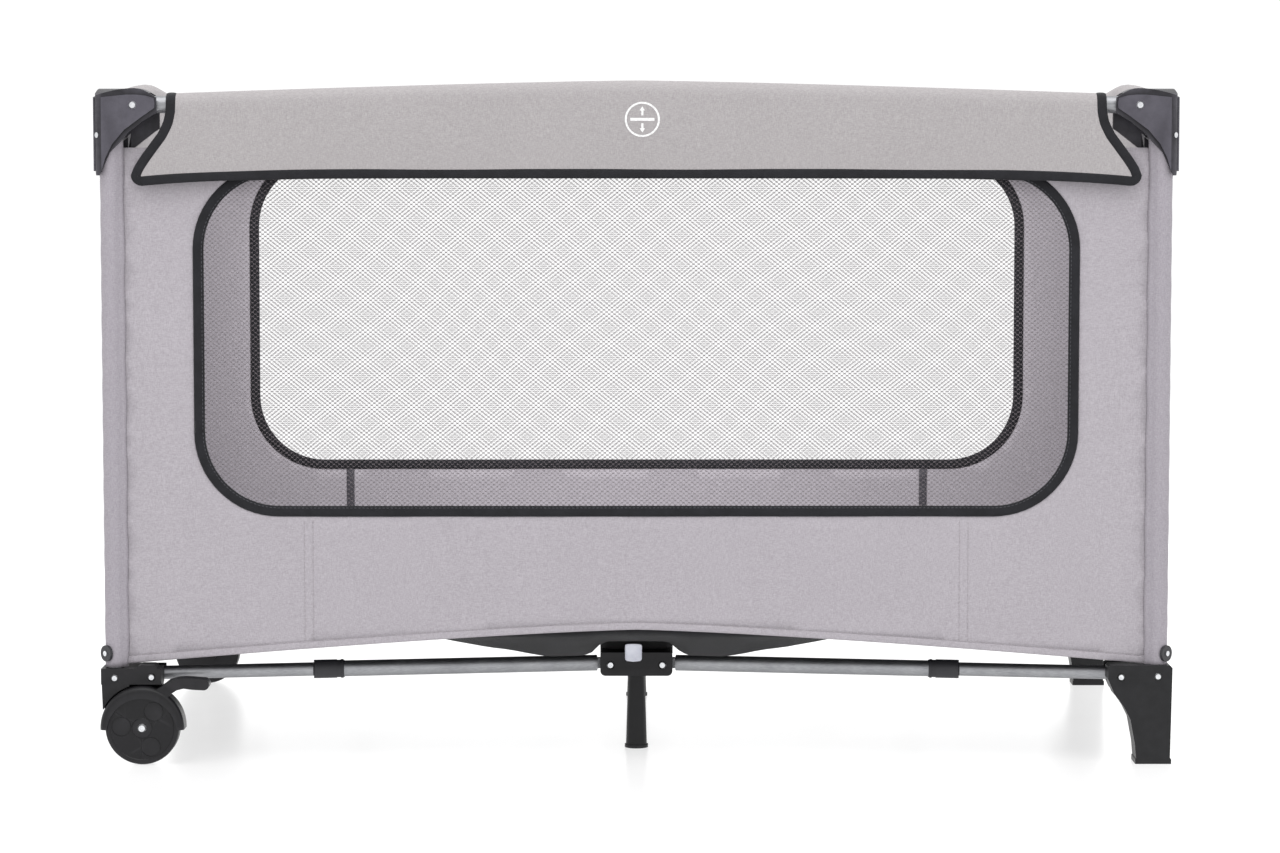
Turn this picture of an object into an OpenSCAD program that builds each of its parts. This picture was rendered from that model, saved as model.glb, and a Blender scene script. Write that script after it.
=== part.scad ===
// Folding playpen: four posts, hinged top rails with centre latches, a hinged base frame and fabric sides.
// The long side runs along X, the front faces -Y, the floor is Z = 0.

/* [Overall size] */
// Distance between the posts' centre lines along the long side
post_span_x = 1218; // [1150:1:1280]
// Distance between the posts' centre lines along the short side
post_span_y = 615; // [580:1:680]
// Height of the fabric's top edge at the middle of a side
cover_top = 795; // [760:1:840]

/* [Frame tubes] */
// Outside diameter of a corner post
post_d = 19; // [16:0.5:22]
// Outside diameter of a top rail
rail_d = 20; // [16:0.5:20]
// Outside diameter of the outer part of a base tube
base_outer_d = 16; // [14:0.5:18]
// Outside diameter of the inner part of a base tube
base_inner_d = 19; // [16:0.5:19]
// Wall thickness of the tubes
tube_wall = 1.5; // [1:0.1:2.5]
// Radius of the pivot pins
pin_r = 3; // [2.5:0.1:4]

/* [Fold] */
// Distance of a top rail's pivot from the post's centre line
top_pivot_in = 29; // [26:0.5:34]
// Half the distance between a latch's two pivots
latch_half = 43.5; // [40:0.5:50]
// Height of the base frame's pivots
base_z = 102; // [95:1:115]
// Distance of a base pivot from the post's centre line along the long side
base_pivot_in = 37.8; // [34:0.2:46]
// Distance of a base pivot from the post's centre line along the short side
base_pivot_back = 20; // [18:0.5:24]
// Sideways run of a long base tube, from its leg to the side hub
base_run_y = 84.5; // [70:0.5:100]
// Distance between a side hub's long tube pivots and its cross tube pivot
hub_depth = 25; // [22:1:32]

/* [Feet and wheels] */
// Radius of a wheel
wheel_r = 43; // [35:1:50]
// Width of a wheel
wheel_w = 24; // [18:1:28]
// Distance of a wheel's axle from the post's centre line
wheel_in = 33; // [25:1:40]
// Height of a side hub's foot
hub_foot_h = 89; // [80:1:95]

/* [Fabric] */
// Thickness of the padded fabric
cloth_t = 3; // [2:0.5:5]
// Height of the sides' lower hem at the middle
hem_mid = 157; // [130:1:170]
// Height of the sides' lower hem at the posts
hem_post = 117; // [114:1:130]
// Half the width of the mesh window on a long side
window_half = 514; // [450:1:530]
// Height of the mesh window's lower edge
window_low = 289; // [250:1:320]
// Corner radius of the mesh window
window_r = 92; // [40:1:110]
// Thickness of a mattress panel
mattress_t = 22; // [15:1:30]

/* [Hidden] */
$fn = 64;
px = post_span_x / 2;
py = post_span_y / 2;
top_z = cover_top - 28.5;
rail_r = rail_d / 2;
post_r = post_d / 2;
run_x = px - top_pivot_in - latch_half;
run_y = py - top_pivot_in - latch_half;
leg_px = px - base_pivot_in;
leg_py = py - base_pivot_back;
hub_px = leg_px - run_x;
hub_py = leg_py - base_run_y;
cross_y = hub_py - hub_depth;
cross_run = run_y - base_run_y;
mid_y = cross_y - cross_run;
skew = atan2(base_run_y, run_x);
long_tube = sqrt(run_x * run_x + base_run_y * base_run_y);
pin_gap = 0.05;
sleeve_in = post_r + 0.3;
sleeve_out = sleeve_in + 1.1;
side_out = 17.2;
side_in = side_out - cloth_t;
lobe = 56;
shell = 18;

steel = [0.62, 0.64, 0.66];
black = [0.15, 0.15, 0.16];
housing_grey = [0.36, 0.35, 0.39];
cloth_grey = [0.72, 0.70, 0.72];
mat_grey = [0.45, 0.45, 0.48];

// ---------- helpers ----------

// Puts its children at a corner: local +X and +Y point inward from the post's centre line.
module corner(sx, sy) {
    translate([sx * px, sy * py, 0])
    mirror([sx > 0 ? 1 : 0, 0, 0])
    mirror([0, sy > 0 ? 1 : 0, 0])
    children();
}

// Swaps X and Y, for the copy of a shape on the short side.
module swap() {
    mirror([1, -1, 0]) children();
}

// A round bar along Y from y0 to y1.
module bar_y(r, y0, y1) {
    translate([0, y1, 0]) rotate([90, 0, 0]) cylinder(r = r, h = y1 - y0);
}

// A round bar along X from x0 to x1.
module bar_x(r, x0, x1) {
    translate([x0, 0, 0]) rotate([0, 90, 0]) cylinder(r = r, h = x1 - x0);
}

// A profile drawn in X and Z, as thick as y0 to y1.
module upright(y0, y1) {
    translate([0, y1, 0]) rotate([90, 0, 0]) linear_extrude(y1 - y0) children();
}

module block(a, b) {
    translate(a) cube([b[0] - a[0], b[1] - a[1], b[2] - a[2]]);
}

// A low domed screw head along -Y, its flat face at y = 0.
module screw_head(r, h) {
    difference() {
        translate([0, 0, 0]) rotate([90, 0, 0]) cylinder(r1 = r, r2 = r * 0.72, h = h);
        translate([0, -h + 0.8, 0]) rotate([90, 0, 0]) cylinder(r = r * 0.36, h = 2);
    }
}

function arc(cx, cy, r, a0, a1, n) = [for (i = [0 : n]) [cx + r * cos(a0 + (a1 - a0) * i / n), cy + r * sin(a0 + (a1 - a0) * i / n)]];

// ---------- legs ----------

// A corner post: a steel tube, drilled for its lower bolt and its cap screw.
module post(low, bolt_z) {
    color(steel)
    difference() {
        translate([0, 0, low]) cylinder(r = post_r, h = top_z - 6.5 - low);
        translate([0, 0, low - 1]) cylinder(r = post_r - tube_wall, h = top_z);
        translate([1, 0, bolt_z]) bar_y(2.6, -20, 20);
        rotate([0, 0, 45]) translate([0, 0, 129]) bar_x(2.1, -15, 0);
    }
}

function lobe_top(u) = u < 31 ? 11.5 + 8 * sin(90 * (u + 14) / 45) : 19.5 - 11 * (1 - cos(90 * (u - 31) / 25));

// The lower edge of a housing's lobe, from its inboard end down to the tip at the outer corner.
sweep = [[56, -9], [40, -18.5], [24, -31], [10, -45.5], [2, -54.5], [-4, -67], [-9, -78]];

// The side view of a corner housing's lobe, with its height counted from the pivots.
module lobe_shape() {
    polygon(concat(
        [[-11.5, -81], [-14, -80], [-15.5, -77], [-15.5, 8], [-14.5, 10.5]],
        [for (u = [-14 : 5 : lobe - 1]) [u, lobe_top(u)]],
        [[lobe, lobe_top(lobe)]],
        sweep
    ));
}

// The raised panel on a lobe's outer face.
module panel_shape() {
    polygon([
        [-7.5, -76], [-7.5, 9], [2, 10], [12, 11], [22, 12], [33, 12], [44, 10.8], [53.5, 8], [54.5, 2], [54, -3.5],
        [40, -13], [19, -28.5], [5, -45], [-3, -61]
    ]);
}

// One lobe: over the post it stays above the other lobe's lower edge, apart from its outer skin.
module lobe_solid() {
    intersection() {
        upright(-15.5, shell) lobe_shape();
        union() {
            block([-30, -30, -100], [lobe + 10, -10, 100]);
            swap() upright(-30, lobe + 10) polygon(concat([[-30, -78], [-30, 60], [80, 60], [80, -9]], sweep));
        }
    }
    upright(-shell, -15.4) panel_shape();
    // inner cheek, which reaches lower
    upright(12, shell) polygon([[23, -4], [lobe, -4], [lobe, -27], [50, -31], [34, -43.5], [27, -49], [23, -49]]);
}

// A corner housing: two lobes over the post, each a fork for a top rail.
module housing() {
    color(housing_grey)
    translate([0, 0, top_z])
    difference() {
        intersection() {
            union() {
                lobe_solid();
                swap() lobe_solid();
            }
            translate([0, 0, -100]) linear_extrude(200) polygon(concat(
                [[-shell, lobe + 1], [-shell, -7.5], [-15.5, -7.5]],
                arc(-7.5, -7.5, 8, 190, 260, 5),
                [[-7.5, -15.5], [-7.5, -shell], [lobe + 1, -shell], [lobe + 1, lobe + 1]]
            ));
        }
        for (k = [0, 1]) {
            mirror([k, -k, 0]) {
                block([17, -12, -120], [lobe + 5, 12, 14]);
                translate([top_pivot_in, 0, 0]) bar_y(pin_r + pin_gap, -30, 30);
            }
        }
        translate([0, 0, -120]) cylinder(r = sleeve_out + 0.4, h = 88);
        translate([0, 0, -40]) cylinder(r = post_r + 0.1, h = 33.5);
        rotate([0, 0, 45]) translate([0, 0, -34.5]) bar_x(3.4, -30, -17.2);
    }
}

// The slot, bore and spot faces for a base tube's pivot, in line with the tube.
module base_fork() {
    translate([base_pivot_in, base_pivot_back, base_z])
    rotate([0, 0, skew]) {
        block([-9.7, -10, 92.7 - base_z], [40, 10, 40]);
        bar_y(pin_r + pin_gap, -50, 50);
        bar_y(4.6, -60, -37.2);
        bar_y(4.6, 13.9, 40);
    }
}

// The wheel leg's bracket: post socket and base tube fork above, axle web below.
module wheel_bracket() {
    color(black)
    difference() {
        union() {
            block([-15, -17.5, 93.5], [55, 34.5, 112]);
            upright(-17.5, 9.3) polygon([[25, 111], [28.5, 115], [31, 116], [46, 116], [48.5, 115], [51, 111]]);
            upright(3.5, 17.5) polygon([[-15, 94.5], [-14, 62], [8, 34], [33, 32], [52, 60], [54, 94.5]]);
            difference() {
                upright(-17.5, 5) polygon([[-14.3, 95.5], [-13.2, 61], [-8, 61], [18, 88], [18, 95.5]]);
                translate([wheel_in, 0, wheel_r]) bar_y(50.6, -20, 10);
            }
            translate([wheel_in, 0, wheel_r]) bar_y(14, 3.5, 17.5);
        }
        translate([0, 0, 95]) cylinder(r = post_r + 0.1, h = 40);
        base_fork();
        translate([1, 0, 101]) bar_y(2.6, -30, 20);
        translate([1, 0, 101]) bar_y(5.2, 17.5, 40);
        translate([wheel_in, 0, wheel_r]) bar_y(4.05, 0, 30);
    }
}

// The foot leg's bracket: one moulding from the post socket to the floor.
module foot_bracket() {
    color(black)
    difference() {
        union() {
            upright(-17.5, 17.5) polygon([
                [-15.5, 0], [26.5, 0], [26.5, 5.5], [25.5, 6.5], [27, 23], [32.5, 52], [39, 65], [46.5, 76],
                [51, 81], [55, 90.5], [59, 99.5], [58.5, 113], [56, 116], [-13, 116], [-16, 113], [-14, 6.5], [-15.5, 5.5]
            ]);
            upright(17.5, 34.5) polygon([[22, 88], [52, 84], [55, 90.5], [59, 99.5], [58.5, 113], [56, 116], [22, 116]]);
        }
        translate([0, 0, 40]) cylinder(r = post_r + 0.1, h = 100);
        base_fork();
        translate([1, 0, 103]) bar_y(2.6, -30, 20);
        translate([0, 0, 112.4]) cylinder(r = sleeve_out + 0.4, h = 10);
    }
}

// A plain bolt along Y with a domed head at the front and a nut at the back.
module bolt_y(r, y0, y1, head_r) {
    bar_y(r, y0, y1);
    translate([0, y0, 0]) screw_head(head_r, 2.4);
    translate([0, y1 + 2.5, 0]) rotate([90, 0, 0]) cylinder(r = head_r - 0.2, h = 2.5, $fn = 6);
}

// The bolts, pins and caps that one leg carries.
module leg_bolts(bolt_z) {
    color(steel) {
        for (k = [0, 1]) {
            mirror([k, -k, 0]) translate([top_pivot_in, 0, top_z]) bolt_y(pin_r, -shell, shell, 4.7);
        }
        translate([base_pivot_in, base_pivot_back, base_z]) rotate([0, 0, skew]) bolt_y(pin_r, -37.2, 13.9, 4.15);
        translate([1, 0, bolt_z]) bolt_y(2.5, -17.5, 17.5, 4.15);
        rotate([0, 0, 45]) translate([0, 0, top_z - 34.5]) bar_x(3.25, -19.2, -17.2);
        rotate([0, 0, 45]) translate([0, 0, 129]) bar_x(3.1, -15.8, -14.6);
    }
    color(black)
    rotate([0, 0, 45]) translate([0, 0, 129]) {
        bar_x(9.5, -14.6, -11.1);
        bar_x(2, -12, -6);
    }
}

// The wheel's axle bolt.
module axle_bolt() {
    color(steel)
    translate([wheel_in, 0, wheel_r]) bolt_y(4, -wheel_w + 0.3, 17.5, 5.2);
}

// A wheel with a hub, a nearly flat face with three pressed rings and a rounded tread.
module wheel() {
    color(black)
    translate([wheel_in, 0.5, wheel_r]) rotate([90, 0, 0])
    difference() {
        rotate_extrude() polygon([
            [4.1, 0], [wheel_r - 3, 0], [wheel_r - 0.8, 1.2], [wheel_r, 4], [wheel_r, wheel_w - 3.4], [wheel_r - 0.9, wheel_w - 1],
            [wheel_r - 3, wheel_w], [wheel_r - 5.5, wheel_w], [wheel_r - 6.3, wheel_w - 0.8], [12, wheel_w - 0.8], [11.2, wheel_w],
            [4.1, wheel_w]
        ]);
        for (i = [0 : 2]) {
            rotate([0, 0, 120 * i + 55]) translate([24, 0, wheel_w - 1.6]) difference() {
                cylinder(r = 11.6, h = 5);
                translate([0, 0, -1]) cylinder(r = 10.6, h = 7);
            }
            rotate([0, 0, 120 * i + 28]) block([12.6, -0.5, wheel_w - 1.6], [35.5, 0.5, wheel_w + 1]);
        }
    }
}

// A brake: a rounded hood over the wheel, a back plate on the axle bolt and a foot lever.
module brake() {
    color(black)
    difference() {
        union() {
            translate([wheel_in, 0, wheel_r]) {
                difference() {
                    rotate([90, 0, 0]) rotate_extrude() polygon(concat(
                        [[44.6, -1.6], [49, -1.6]], arc(42, 19.2, 7, 0, 90, 6), [[32, 26.2], [32, 24.3], [44.6, 24.3]]
                    ));
                    translate([0, 0, -6]) bar_y(41, -30, -20);
                    block([-60, -40, -60], [60, 10, -2]);
                }
                difference() {
                    bar_y(48.4, 1, 3);
                    block([-60, 0, -60], [60, 10, -2]);
                    block([-60, 0, -60], [-18, 10, 60]);
                    block([18, 0, -60], [60, 10, 60]);
                }
                bar_y(11, 1, 3);
            }
            upright(-24.2, -4) polygon(concat(
                [[50, 88.3], [57, 92.5], [65, 98.6], [75, 101.2], [85, 101.8], [97, 100.9]],
                arc(105.4, 94, 6.3, 90, -90, 10),
                [[92, 88.3], [82, 89.6], [74, 87.6], [67, 83.2], [62, 77.5], [60, 70], [54, 70]]
            ));
        }
        translate([wheel_in, 0, wheel_r]) bar_y(44.6, -24.3, 1);
        translate([wheel_in, 0, wheel_r]) bar_y(4.15, 0, 10);
    }
}

// ---------- top rails and latches ----------

// A hinge tongue: a rounded plate along X with a bore at the origin.
module tongue(r, half_w, reach, z0, z1) {
    bar_y(r, -half_w, half_w);
    block([0, -half_w, z0], [reach, half_w, z1]);
}

// Half a top rail, from the corner pivot at the origin to the latch pivot at x = run.
module rail_half(run) {
    rise = 11.2;
    from = 16;
    len = run - 2 * from;
    tilt = atan2(rise, len);
    color(steel)
    difference() {
        union() {
            translate([from, 0, 0.3]) rotate([0, -tilt, 0]) difference() {
                bar_x(rail_r, 0, len);
                bar_x(rail_r - tube_wall, 14, len - 14);
            }
            tongue(8, 4, from + 2, -5, 6);
            translate([run, 0, 0]) mirror([1, 0, 0]) {
                bar_y(8, -4, 4);
                upright(-4, 4) polygon([[-4, -6], [from + 2, 3], [from + 2, 18], [4, 18], [-7.6, 2]]);
            }
        }
        bar_y(pin_r + pin_gap, -20, 20);
        translate([run, 0, 0]) bar_y(pin_r + pin_gap, -20, 20);
    }
}

// A latch over the middle of a rail: two cheeks, a solid middle with the button's pocket, and two rivets.
module latch() {
    h = latch_half + 14.5;
    color(black)
    difference() {
        union() {
            difference() {
                upright(-11, 11) polygon(concat(
                    arc(-latch_half, 0, 14.5, 90, 270, 16),
                    [[-24, -14.5], [-20, -29], [20, -29], [24, -14.5]],
                    arc(latch_half, 0, 14.5, -90, 90, 16),
                    [[22.4, 14.5], [21.5, 21.5], [-21.5, 21.5], [-22.4, 14.5]]
                ));
                for (s = [-1, 1]) {
                    block([s > 0 ? 22 : -h - 5, -5, -40], [s > 0 ? h + 5 : -22, 5, 40]);
                }
            }
            for (s = [-1, 1]) {
                translate([s * latch_half, 0, 0]) {
                    bar_y(pin_r, -11, 11);
                    translate([0, -10.9, 0]) screw_head(5, 1.6);
                    translate([0, 10.9, 0]) mirror([0, 1, 0]) screw_head(5, 1.6);
                }
            }
        }
        translate([0, 0, -12.5]) bar_y(12.3, -20, 3.5);
    }
}

// The latch's push button, in its pocket.
module button() {
    color(black)
    translate([0, 0, -12.5]) {
        bar_y(12, -13.2, -2);
        bar_y(5, -2, -1.8);
    }
}

// Places a long side's parts: the origin goes to the latch's centre, front or rear.
module long_place(sy) {
    translate([0, sy * py, top_z]) mirror([0, sy > 0 ? 1 : 0, 0]) children();
}

// Places a short side's parts in the same way, left or right.
module short_place(sx) {
    translate([sx * px, 0, top_z]) mirror([sx > 0 ? 1 : 0, 0, 0]) swap() children();
}

// ---------- base frame ----------

// A base tube from the leg's pivot at the origin to the side hub's pivot, with its collar.
module base_tube() {
    outer_r = base_outer_d / 2;
    inner_r = base_inner_d / 2;
    color(steel)
    rotate([0, 0, skew])
    difference() {
        union() {
            difference() {
                bar_x(outer_r, 5, 216);
                bar_x(outer_r - tube_wall, 24, 220);
            }
            difference() {
                bar_x(inner_r, 204, long_tube - 13);
                bar_x(inner_r - tube_wall, 203, long_tube - 26);
            }
            difference() {
                bar_x(inner_r - 0.5, 204, 216);
                bar_x(outer_r - tube_wall, 200, 220);
            }
            bar_y(outer_r - 0.3, -6, 6);
            translate([long_tube, 0, 0]) mirror([1, 0, 0]) tongue(8, 6, 18, -6, 6);
        }
        bar_y(pin_r + pin_gap, -20, 20);
        translate([long_tube, 0, 0]) bar_y(pin_r + pin_gap, -20, 20);
    }
    color(black)
    rotate([0, 0, skew])
    difference() {
        union() {
            bar_x(11, 192, 219);
            bar_x(10.4, 218, 228);
            bar_x(11.2, 224, 226.5);
        }
        bar_x(inner_r + 0.05, 203.9, 240);
        bar_x(outer_r + 0.05, 180, 210);
    }
}

module base_place(sx, sy) {
    translate([sx * leg_px, sy * leg_py, base_z])
    mirror([sx > 0 ? 1 : 0, 0, 0])
    mirror([0, sy > 0 ? 1 : 0, 0])
    children();
}

// A side hub for the front: forks for the two long base tubes and one for the cross tube.
module side_hub() {
    front = -hub_py - 23;
    color(black)
    difference() {
        union() {
            upright(front, -cross_y - 2) polygon(concat(
                arc(-37, 95, 6, 180, 270, 4), arc(37, 95, 6, 270, 360, 4), [[43, 115], [41, 117], [-41, 117], [-43, 115]]
            ));
            upright(-hub_py + 11.8, -cross_y - 2) polygon([[-37, 110], [37, 110], [37, 124], [34, 127.5], [-34, 127.5], [-37, 124]]);
            for (s = [-1, 1]) {
                translate([s * 11.6, -cross_y, base_z]) bar_x(9, -2.4, 2.4);
                block([s * 11.6 - 2.4, -cross_y - 6, base_z - 9], [s * 11.6 + 2.4, -cross_y, base_z + 9]);
            }
        }
        for (s = [-1, 1]) {
            block([s > 0 ? 25 : -50, -hub_py - 11.5, 80], [s > 0 ? 50 : -25, -hub_py + 11.5, base_z + 10]);
            translate([s * hub_px, -hub_py, base_z]) rotate([0, 0, -s * skew]) {
                bar_y(pin_r + pin_gap, -40, 40);
                bar_y(4.9, -40, -22.4);
                bar_y(4.9, 22.4, 40);
            }
        }
        block([-9.2, -cross_y - 9.6, 80], [9.2, -cross_y + 20, 130]);
    }
    color(steel)
    translate([0, -cross_y, base_z]) bar_x(pin_r, -9.25, 9.25);
}

// The side hub's foot.
module hub_foot() {
    color(black)
    translate([0, -hub_py, 0])
    difference() {
        union() {
            translate([0, 0, 3.5]) cylinder(r1 = 12.6, r2 = 10, h = hub_foot_h - 3.5);
            cylinder(r = 14, h = 3.6);
        }
        translate([0, 0, 8]) cylinder(r = 7.5, h = hub_foot_h - 14);
        translate([0, 0, -1]) cylinder(r = 5, h = 12);
    }
}

// The two pivot bolts of a side hub.
module hub_bolts() {
    color(steel)
    for (s = [-1, 1]) {
        translate([s * hub_px, -hub_py, base_z]) rotate([0, 0, -s * skew]) bolt_y(pin_r, -22.4, 22.4, 4.5);
    }
}

// A cross tube from the side hub to the centre hub.
module cross_tube() {
    color(steel)
    translate([0, -cross_y, base_z])
    difference() {
        union() {
            difference() {
                bar_y(8, 4, cross_run - 4);
                bar_y(8 - tube_wall, 20, cross_run - 20);
            }
            bar_x(8.3, -7.6, 7.6);
            translate([0, cross_run, 0]) bar_x(8.3, -7.6, 7.6);
        }
        bar_x(pin_r + pin_gap, -20, 20);
        translate([0, cross_run, 0]) bar_x(pin_r + pin_gap, -20, 20);
    }
}

// The centre hub that is pulled up to fold the base.
module centre_hub() {
    color(black)
    difference() {
        union() {
            block([-45, -40, 90], [45, 40, 118]);
            intersection() {
                translate([0, 0, 108.8]) sphere(r = 36.2);
                block([-50, -50, 117], [50, 50, 160]);
            }
        }
        for (s = [-1, 1]) {
            block([-9.2, s > 0 ? mid_y - 9.6 : -60, 80], [9.2, s > 0 ? 60 : -mid_y + 9.6, base_z + 9.6]);
            for (t = [-1, 1]) {
                block([t > 0 ? 16 : -38, s > 0 ? 6 : -34, 80], [t > 0 ? 38 : -16, s > 0 ? 34 : -6, 112]);
            }
        }
    }
    color(steel)
    for (s = [-1, 1]) {
        translate([0, s * mid_y, base_z]) bar_x(pin_r, -9.25, 9.25);
    }
}

// The webbing tab on the front hub.
module hub_strap() {
    f = -hub_py - 23;
    color([0.85, 0.85, 0.9])
    translate([-14, 0, 0]) rotate([90, 0, 90]) linear_extrude(21) polygon([
        [f - 0.2, 103.5], [f - 0.2, 118.5], [f - 14, 130.5], [f - 16, 129.8], [f - 2, 117.4], [f - 2, 103.5]
    ]);
}

// ---------- fabric ----------

function hem(t, half) = hem_mid - (hem_mid - hem_post) * pow(min(1, abs(t) / half), 1.3);
function crown(t, half) = top_z + 13.5 + (cover_top - top_z - 13.5) * (1 - pow(min(1, abs(t) / half), 1.3));

// The outline of a side's padded cover, in X and Z; half is half the cover's length at the top.
module cover_outline(half) {
    n = 14;
    polygon(concat(
        [for (i = [-n : n]) [half * i / n, crown(half * i / n, half)]],
        [for (i = [n : -1 : -n]) [(half + 45) * i / n, top_z - 83.5 - 6 * pow(abs(i) / n, 1.5)]]
    ));
}

module cover_hollow(half) {
    n = 14;
    polygon(concat(
        [[-half - 90, top_z + 12.1]],
        [for (i = [-n : n]) [half * i / n, crown(half * i / n, half) - 1.4]],
        [[half + 90, top_z + 12.1], [half + 90, top_z - 80.5], [-half - 90, top_z - 80.5]]
    ));
}

// One side in fabric: the wall with its window, the rail cover and the sleeve on the post at -X.
module side(span) {
    half = span / 2 - 68;
    w = span / 2 - (px - window_half);
    wall_half = span / 2;
    r = min(window_r, w / 3);
    n = 20;
    color(cloth_grey)
    difference() {
        union() {
            difference() {
                upright(-2.5, 0.5) polygon(concat(
                    [for (i = [-n : n]) [(wall_half - 11.6) * i / n, hem((wall_half - 11.6) * i / n, wall_half - 12)]],
                    [[wall_half - 11.6, 700], [half, 700], [half, top_z - 81], [-half, top_z - 81], [-half, 700], [-wall_half + 11.6, 700]]
                ));
                for (s = [-1, 1]) {
                    upright(s > 0 ? -0.5 : -3.5, s > 0 ? 1.5 : -1.5) polygon(concat(
                        arc(-w + r, window_low + r, r, 180, 270, 8), arc(w - r, window_low + r, r, 270, 360, 8),
                        [[w, 640], [-w, 640]]
                    ));
                }
            }
            difference() {
                upright(-side_out, side_out) cover_outline(half);
                upright(-side_in, side_in) cover_hollow(half);
                block([half + 4, 0, 600], [half + 90, 40, 900]);
                block([-half - 90, 0, 600], [-half - 4, 40, 900]);
            }
            translate([-wall_half, 0, 0]) difference() {
                translate([0, 0, 113]) cylinder(r = sleeve_out, h = top_z - 33 - 113);
                rotate([0, 0, 45]) translate([0, 0, 129]) bar_x(2.1, -15, 0);
            }
            block([-wall_half + 10, -2.5, 120], [-wall_half + 13, 0.5, 700]);
        }
        translate([-wall_half, 0, 0]) cylinder(r = sleeve_in, h = 900);
    }
}

// The floor fabric: a sheet between the walls that dips to the two side hubs.
module floor_fabric() {
    color(black)
    difference() {
        union() {
            block([-px + 1.2, -py + 1.2, 146], [px - 1.2, py - 1.2, 148.5]);
            for (s = [0, 1]) {
                mirror([0, s, 0]) floor_dip(0);
            }
        }
        for (s = [0, 1]) {
            mirror([0, s, 0]) floor_dip(2.5);
        }
        for (sx = [-1, 1], sy = [-1, 1]) {
            translate([sx * px, sy * py, 100]) cylinder(r = sleeve_out + 0.6, h = 100);
        }
    }
}

module floor_dip(up) {
    front = -hub_py - 25;
    hull() {
        block([-250, -py + 1.4, 146 + up], [250, -100, 146.5 + up]);
        block([-43, front, 129.2 + up], [43, -cross_y + 4, 129.7 + up]);
    }
    if (up > 0) {
        block([-249, -py + 1.4 + 1, 146.4 + up], [249, -101, 170]);
    }
}

// A mattress panel between two places along X.
module panel(x0, x1) {
    color(mat_grey)
    block([x0 + 0.5, -py + 13.5, 150], [x1 - 0.5, py - 13.5, 150 + mattress_t]);
}

// ---------- nodes ----------

module post_front_left() {
    corner(-1, -1) post(95, 101);
}

module post_rear_left() {
    corner(-1, 1) post(95, 101);
}

module post_front_right() {
    corner(1, -1) post(40, 103);
}

module post_rear_right() {
    corner(1, 1) post(40, 103);
}

module bolts_left(sy) {
    corner(-1, sy) {
        leg_bolts(101);
        axle_bolt();
    }
}

module mat_x(i) {
    x0 = -px + 11.5 + (px - 11.5) * i / 2;
    panel(x0, x0 + (px - 11.5) / 2);
}

post_front_left();
post_front_right();
post_rear_left();
post_rear_right();
corner(-1, -1) housing();  // housing_front_left
corner(1, -1) housing();  // housing_front_right
corner(-1, 1) housing();  // housing_rear_left
corner(1, 1) housing();  // housing_rear_right
corner(-1, -1) wheel_bracket();  // wheel_bracket_front
corner(-1, 1) wheel_bracket();  // wheel_bracket_rear
corner(1, -1) foot_bracket();  // foot_bracket_front
corner(1, 1) foot_bracket();  // foot_bracket_rear
bolts_left(-1);  // bolts_front_left
corner(1, -1) leg_bolts(103);  // bolts_front_right
bolts_left(1);  // bolts_rear_left
corner(1, 1) leg_bolts(103);  // bolts_rear_right
corner(-1, -1) wheel();  // wheel_front
corner(-1, 1) wheel();  // wheel_rear
corner(-1, -1) brake();  // brake_front
corner(-1, 1) brake();  // brake_rear
rail_long(-1, -1);  // rail_front_left
rail_long(1, -1);  // rail_front_right
rail_long(-1, 1);  // rail_rear_left
rail_long(1, 1);  // rail_rear_right
rail_short(-1, -1);  // rail_left_front
rail_short(-1, 1);  // rail_left_rear
rail_short(1, -1);  // rail_right_front
rail_short(1, 1);  // rail_right_rear
long_place(-1) latch();  // latch_front
long_place(1) latch();  // latch_rear
short_place(-1) latch();  // latch_left
short_place(1) latch();  // latch_right
long_place(-1) button();  // button_front
long_place(1) button();  // button_rear
short_place(-1) button();  // button_left
short_place(1) button();  // button_right
base_place(-1, -1) base_tube();  // base_tube_front_left
base_place(1, -1) base_tube();  // base_tube_front_right
base_place(-1, 1) base_tube();  // base_tube_rear_left
base_place(1, 1) base_tube();  // base_tube_rear_right
side_hub();  // side_hub_front
mirror([0, 1, 0]) side_hub();  // side_hub_rear
hub_foot();  // hub_foot_front
mirror([0, 1, 0]) hub_foot();  // hub_foot_rear
hub_bolts();  // hub_bolts_front
mirror([0, 1, 0]) hub_bolts();  // hub_bolts_rear
cross_tube();  // cross_tube_front
mirror([0, 1, 0]) cross_tube();  // cross_tube_rear
centre_hub();
hub_strap();
fabric_long(0);  // fabric_front
fabric_long(180);  // fabric_rear
fabric_short(0);  // fabric_right
fabric_short(180);  // fabric_left
floor_fabric();
mat_x(0);  // mattress_left_outer
mat_x(1);  // mattress_left_inner
mat_x(2);  // mattress_right_inner
mat_x(3);  // mattress_right_outer

module rail_long(sx, sy) {
    corner(sx, sy) translate([top_pivot_in, 0, top_z]) rail_half(run_x);
}

module rail_short(sx, sy) {
    corner(sx, sy) swap() translate([top_pivot_in, 0, top_z]) rail_half(run_y);
}

module fabric_long(turn) {
    rotate([0, 0, turn]) translate([0, -py, 0]) side(post_span_x);
}

module fabric_short(turn) {
    rotate([0, 0, turn]) translate([px, 0, 0]) rotate([0, 0, 90]) side(post_span_y);
}
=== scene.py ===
"""A folding playpen: the CAD frame, with its sewn cloth, netting, padding and finishes."""

import math

import bpy
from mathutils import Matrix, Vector
from mathutils.geometry import delaunay_2d_cdt


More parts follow.
